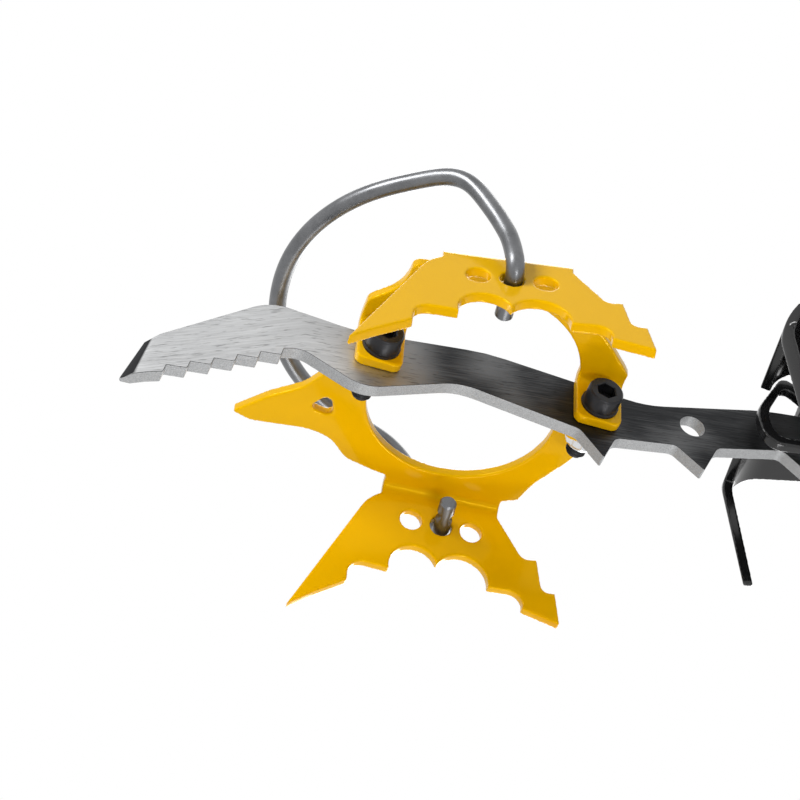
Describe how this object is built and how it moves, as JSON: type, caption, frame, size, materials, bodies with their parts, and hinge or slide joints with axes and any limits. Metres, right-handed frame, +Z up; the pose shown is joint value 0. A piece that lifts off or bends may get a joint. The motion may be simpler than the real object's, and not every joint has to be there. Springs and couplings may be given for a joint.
{
  "type": "monopoint crampon",
  "caption": "Step-in ice climbing crampon: vertical steel bar with a toothed front point, clamped toe frames with a wire toe bail, and a sliding heel unit with a lever clip.",
  "frame": {"origin": "centre of the round eye through the bar", "axes": "+X from toe to heel along the bar, +Y across the bar to the side of the short secondary point, +Z up towards the boot"},
  "size_m": [0.3468, 0.1295, 0.0774],
  "materials": {
    "yellow_coat": "gloss",
    "bar_steel": "brushed",
    "wire_steel": "satin",
    "black_oxide": "satin",
    "zinc_plate": "bright",
    "black_coat": "gloss",
    "black_nylon": "matte"
  },
  "bodies": {
    "bar_and_toe": {"main_bar": "bar_steel", "left_toe_frame": "yellow_coat", "right_toe_frame": "yellow_coat", "clamp_screws": "black_oxide", "clamp_nuts": "zinc_plate", "bar_end_rivet": "black_oxide"},
    "toe_bail": {"toe_bail": "wire_steel"},
    "heel_unit": {"heel_frame": "black_coat", "slider_block": "black_nylon", "slider_screws": "zinc_plate", "lever_guard": "black_coat", "lock_pivot": "zinc_plate", "lock_spring": "zinc_plate", "bail_bushes": "zinc_plate"},
    "lock_lever": {"lock_lever": "wire_steel"},
    "heel_bail": {"heel_bail": "wire_steel"},
    "clip_barrel": {"clip_barrel": "zinc_plate"},
    "heel_lever": {"heel_lever": "black_nylon", "welt_hook": "wire_steel", "hook_rivets": "zinc_plate"},
    "thumb_wheel": {"thumb_wheel": "zinc_plate"}
  },
  "joints": [
    {"name": "toe_bail_swing", "type": "hinge", "parent": "bar_and_toe", "child": "toe_bail", "pos_m": [-0.06044, 0.00923, 0.00316], "axis": [0.1206, 0.9925, -0.0178], "range_deg": [-20, 60]},
    {"name": "heel_slide", "type": "slide", "parent": "bar_and_toe", "child": "heel_unit", "axis": [1, 0, 0], "range_m": [0, 0.06]},
    {"name": "lock_rock", "type": "hinge", "parent": "heel_unit", "child": "lock_lever", "pos_m": [0.0573, -0.00828, 0.0034], "axis": [0, 0, 1], "range_deg": [0, 8.5]},
    {"name": "heel_bail_swing", "type": "hinge", "parent": "heel_unit", "child": "heel_bail", "pos_m": [0.09768, -0.01261, 0.0344], "axis": [-0.1392, -0.9903, 0], "range_deg": [0, 115]},
    {"name": "clip_swing", "type": "hinge", "parent": "heel_bail", "child": "clip_barrel", "pos_m": [0.16984, -0.02275, 0.02155], "axis": [0.1392, 0.9903, 0], "range_deg": [0, 170]},
    {"name": "clip_adjust", "type": "slide", "parent": "clip_barrel", "child": "heel_lever", "axis": [-0.9752, 0.1371, 0.1736], "range_m": [-0.003, 0.003]},
    {"name": "wheel_turn", "type": "hinge", "parent": "heel_lever", "child": "thumb_wheel", "pos_m": [0.14059, -0.01864, 0.02676], "axis": [-0.9752, 0.1371, 0.1736], "range_deg": [-1080, 1080]}
  ],
  "couplings": [
    {"joint": "wheel_turn", "follows": "clip_adjust", "rad_per_m": 6283.2}
  ]
}
